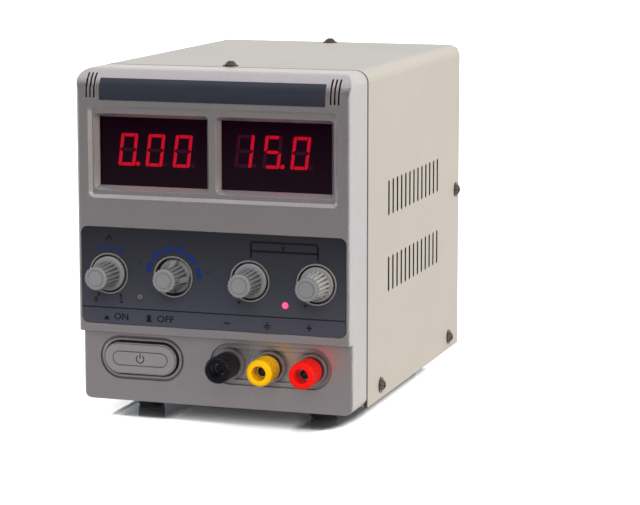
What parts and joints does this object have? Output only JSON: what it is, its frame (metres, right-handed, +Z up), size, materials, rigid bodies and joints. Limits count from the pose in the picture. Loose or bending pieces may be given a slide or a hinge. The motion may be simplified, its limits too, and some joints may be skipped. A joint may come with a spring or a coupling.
{
  "type": "laboratory power supply",
  "caption": "Bench-top laboratory power supply with digital meters, rotary controls, screw-down binding posts, a vented steel cover and a finned rear heat sink.",
  "frame": {"origin": "on the table under the middle of the whole box, knobs and heat sink included", "axes": "+X to the right seen from the front, +Y from the front to the rear, +Z up"},
  "size_m": [0.1296, 0.2164, 0.1566],
  "materials": {
    "silver_moulding": "satin metallic grey paint on a moulding",
    "slate_film": "printed film",
    "dark_film": "printed film, faint gloss",
    "smoked_pane": "dark red acrylic",
    "black_plastic": "moulded",
    "lit_segment": "lit red segments",
    "circuit_board": "green lacquer",
    "knob_grey": "light grey moulded",
    "knob_ivory": "off-white moulded",
    "shaft_alloy": "turned",
    "control_body": "pressed cases",
    "nickel": "nickel plated",
    "clear_lamp": "tinted lens, unlit",
    "red_lamp": "tinted lens, lit",
    "white_nylon": "moulded",
    "black_cap": "semi-gloss moulded",
    "yellow_cap": "semi-gloss moulded",
    "red_cap": "semi-gloss moulded",
    "brass": "turned",
    "cover_paint": "warm pale grey powder coat, fine texture",
    "zinc_steel": "zinc plated sheet",
    "screw_metal": "dark nickel",
    "rubber": "moulded",
    "black_anodised": "black anodised extrusion",
    "core_steel": "varnished laminations",
    "copper_tape": "enamelled copper under tape",
    "capacitor_sleeve": "shrink sleeve",
    "relay_blue": "moulded",
    "selector_red": "moulded"
  },
  "bodies": {
    "root": {"front_bezel": "silver_moulding", "title_strip": "slate_film", "control_overlay": "dark_film", "current_window": "smoked_pane", "voltage_window": "smoked_pane", "display_modules": "black_plastic", "display_segments": "lit_segment", "display_board": "circuit_board", "control_board": "circuit_board", "potentiometers": "control_body", "range_switch": "black_plastic", "panel_nuts": "nickel", "limit_lamp": "clear_lamp", "output_lamp": "red_lamp", "power_switch": "black_plastic", "negative_stud": "nickel", "ground_stud": "nickel", "positive_stud": "nickel", "post_bushes": "black_plastic", "top_cover": "cover_paint", "case_screws": "screw_metal", "chassis": "zinc_steel", "rear_panel": "zinc_steel", "feet": "rubber", "heat_sink": "black_anodised", "output_transistor": "nickel", "inlet": "black_plastic", "inlet_pins": "nickel", "fuse_holder": "black_plastic", "voltage_selector": "black_plastic", "transformer_core": "core_steel", "transformer_windings": "copper_tape", "transformer_bracket": "zinc_steel", "main_board": "circuit_board", "board_standoffs": "brass", "capacitors": "capacitor_sleeve", "relays": "relay_blue", "bridge_rectifier": "black_plastic"},
    "current_dial": {"current_knob": "knob_grey", "current_knob_cap": "knob_grey", "current_shaft": "shaft_alloy"},
    "selector_dial": {"selector_knob": "knob_grey", "selector_knob_cap": "knob_grey", "selector_shaft": "shaft_alloy"},
    "fine_dial": {"fine_knob": "knob_grey", "fine_knob_cap": "knob_grey", "fine_shaft": "shaft_alloy"},
    "coarse_dial": {"coarse_knob": "knob_ivory", "coarse_knob_cap": "knob_grey", "coarse_shaft": "shaft_alloy"},
    "power_key": {"power_button": "silver_moulding", "switch_plunger": "white_nylon"},
    "negative_sleeve": {"negative_insert": "brass"},
    "negative_grip": {"negative_cap": "black_cap"},
    "ground_sleeve": {"ground_insert": "brass"},
    "ground_grip": {"ground_cap": "yellow_cap"},
    "positive_sleeve": {"positive_insert": "brass"},
    "positive_grip": {"positive_cap": "red_cap"},
    "fuse_carrier": {"fuse_cap": "black_plastic"},
    "voltage_slide": {"selector_slider": "selector_red"}
  },
  "joints": [
    {"name": "current_turn", "type": "hinge", "parent": "root", "child": "current_dial", "pos_m": [-0.0477, -0.09265, 0.0649], "axis": [0, 1, 0], "range_deg": [-150, 150]},
    {"name": "selector_turn", "type": "hinge", "parent": "root", "child": "selector_dial", "pos_m": [-0.0176, -0.09265, 0.0649], "axis": [0, 1, 0], "range_deg": [-90, 60]},
    {"name": "fine_turn", "type": "hinge", "parent": "root", "child": "fine_dial", "pos_m": [0.0176, -0.09265, 0.0649], "axis": [0, 1, 0], "range_deg": [-150, 150]},
    {"name": "coarse_turn", "type": "hinge", "parent": "root", "child": "coarse_dial", "pos_m": [0.0477, -0.09265, 0.0649], "axis": [0, 1, 0], "range_deg": [-300, 0]},
    {"name": "power_press", "type": "slide", "parent": "root", "child": "power_key", "axis": [0, -1, 0], "range_m": [-0.0008, 0.0035]},
    {"name": "fuse_turn", "type": "hinge", "parent": "root", "child": "fuse_carrier", "pos_m": [0.034, 0.08895, 0.0993], "axis": [0, 1, 0], "range_deg": [0, 90]},
    {"name": "voltage_change", "type": "slide", "parent": "root", "child": "voltage_slide", "axis": [1, 0, 0], "range_m": [0, 0.005]},
    {"name": "negative_travel", "type": "slide", "parent": "root", "child": "negative_sleeve", "axis": [0, -1, 0], "range_m": [0, 0.0045]},
    {"name": "negative_turn", "type": "hinge", "parent": "negative_sleeve", "child": "negative_grip", "pos_m": [0.00605, -0.09725, 0.0269], "axis": [0, -1, 0], "range_deg": [0, 1620]},
    {"name": "ground_travel", "type": "slide", "parent": "root", "child": "ground_sleeve", "axis": [0, -1, 0], "range_m": [0, 0.0045]},
    {"name": "ground_turn", "type": "hinge", "parent": "ground_sleeve", "child": "ground_grip", "pos_m": [0.0251, -0.09725, 0.0269], "axis": [0, -1, 0], "range_deg": [0, 1620]},
    {"name": "positive_travel", "type": "slide", "parent": "root", "child": "positive_sleeve", "axis": [0, -1, 0], "range_m": [0, 0.0045]},
    {"name": "positive_turn", "type": "hinge", "parent": "positive_sleeve", "child": "positive_grip", "pos_m": [0.04415, -0.09725, 0.0269], "axis": [0, -1, 0], "range_deg": [0, 1620]}
  ],
  "couplings": [
    {"joint": "negative_turn", "follows": "negative_travel", "rad_per_m": 6283.2},
    {"joint": "ground_turn", "follows": "ground_travel", "rad_per_m": 6283.2},
    {"joint": "positive_turn", "follows": "positive_travel", "rad_per_m": 6283.2}
  ]
}
